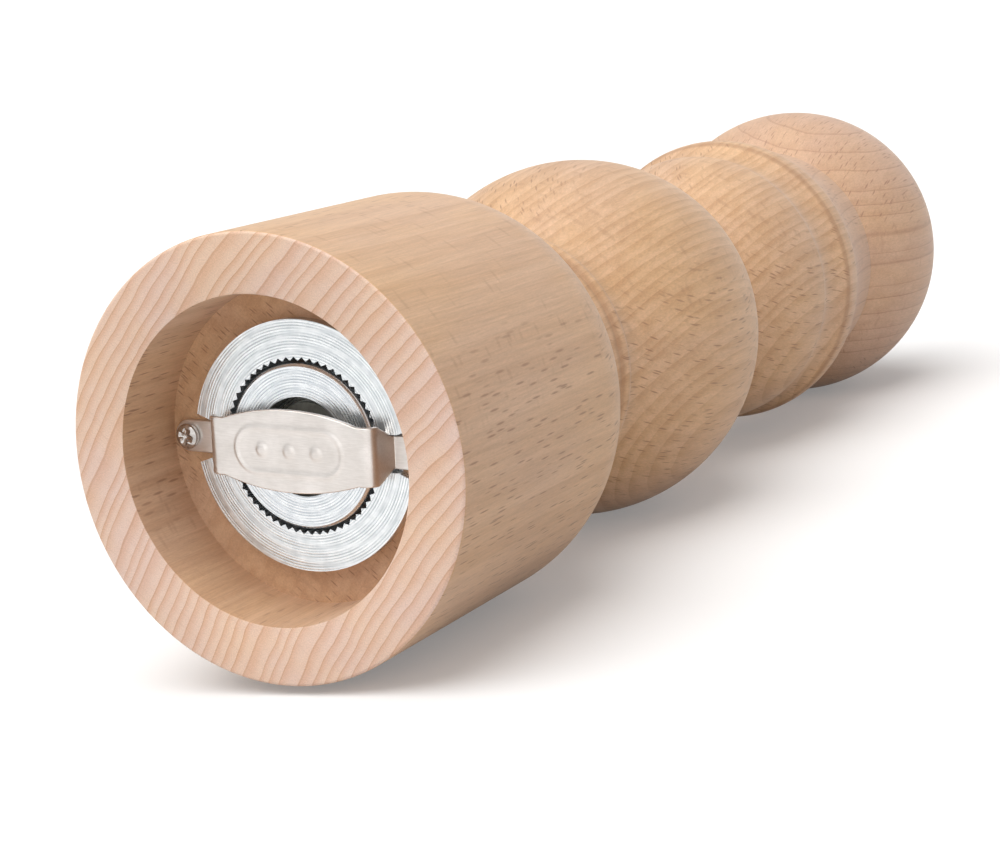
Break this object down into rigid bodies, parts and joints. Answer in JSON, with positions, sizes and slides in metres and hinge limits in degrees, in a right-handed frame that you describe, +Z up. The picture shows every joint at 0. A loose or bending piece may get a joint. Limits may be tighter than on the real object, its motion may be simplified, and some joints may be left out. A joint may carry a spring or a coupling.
{
  "type": "pepper mill",
  "caption": "Turned beech pepper mill with a twisting ball head, a toothed steel grinder in a recessed base and an adjusting knob on top.",
  "frame": {"origin": "centre of the flat base ring that the mill stands on", "axes": "+Z up the mill's axis from the base to the knob, +X along the bracket in the base"},
  "size_m": [0.06, 0.06, 0.2311],
  "materials": {
    "body_wood": "sanded, unvarnished beech",
    "head_wood": "sanded, unvarnished beech",
    "ring_steel": "turned, bright zinc plated",
    "rotor_steel": "turned, bright zinc plated",
    "bridge_steel": "zinc plated",
    "bracket_steel": "nickel plated strip",
    "screw_steel": "bright plated",
    "washer_steel": "oiled dark steel",
    "shaft_alloy": "drawn",
    "spring_steel": "drawn wire",
    "knob_metal": "turned, satin"
  },
  "bodies": {
    "base": {"body": "body_wood", "stator_ring": "ring_steel", "stator_bridge": "bridge_steel", "bracket": "bracket_steel", "bracket_screw_left": "screw_steel", "bracket_screw_right": "screw_steel"},
    "seat": {"spring_seat": "bridge_steel"},
    "shaft": {"drive_shaft": "shaft_alloy", "rotor": "rotor_steel", "rotor_washer": "washer_steel", "grind_spring": "spring_steel"},
    "head": {"head": "head_wood", "drive_plate": "bridge_steel", "drive_plate_screw_left": "screw_steel", "drive_plate_screw_right": "screw_steel"},
    "knob_ring": {"knob_washer": "knob_metal"},
    "knob": {"adjusting_knob": "knob_metal"}
  },
  "joints": [
    {"name": "grind_turn", "type": "hinge", "parent": "base", "child": "seat", "pos_m": [0, 0, 0], "axis": [0, 0, 1], "continuous": true},
    {"name": "shaft_lift", "type": "slide", "parent": "seat", "child": "shaft", "axis": [0, 0, 1], "range_m": [-0.0008, 0.0008], "deforming": ["grind_spring"]},
    {"name": "head_lift", "type": "slide", "parent": "seat", "child": "head", "axis": [0, 0, 1], "range_m": [0, 0.085]},
    {"name": "knob_lift", "type": "slide", "parent": "head", "child": "knob_ring", "axis": [0, 0, 1], "range_m": [0, 0.012]},
    {"name": "knob_turn", "type": "hinge", "parent": "knob_ring", "child": "knob", "pos_m": [0, 0, 0.2215], "axis": [0, 0, 1], "range_deg": [-360, 360]}
  ],
  "couplings": [
    {"joint": "knob_turn", "follows": "shaft_lift", "rad_per_m": -7854}
  ]
}
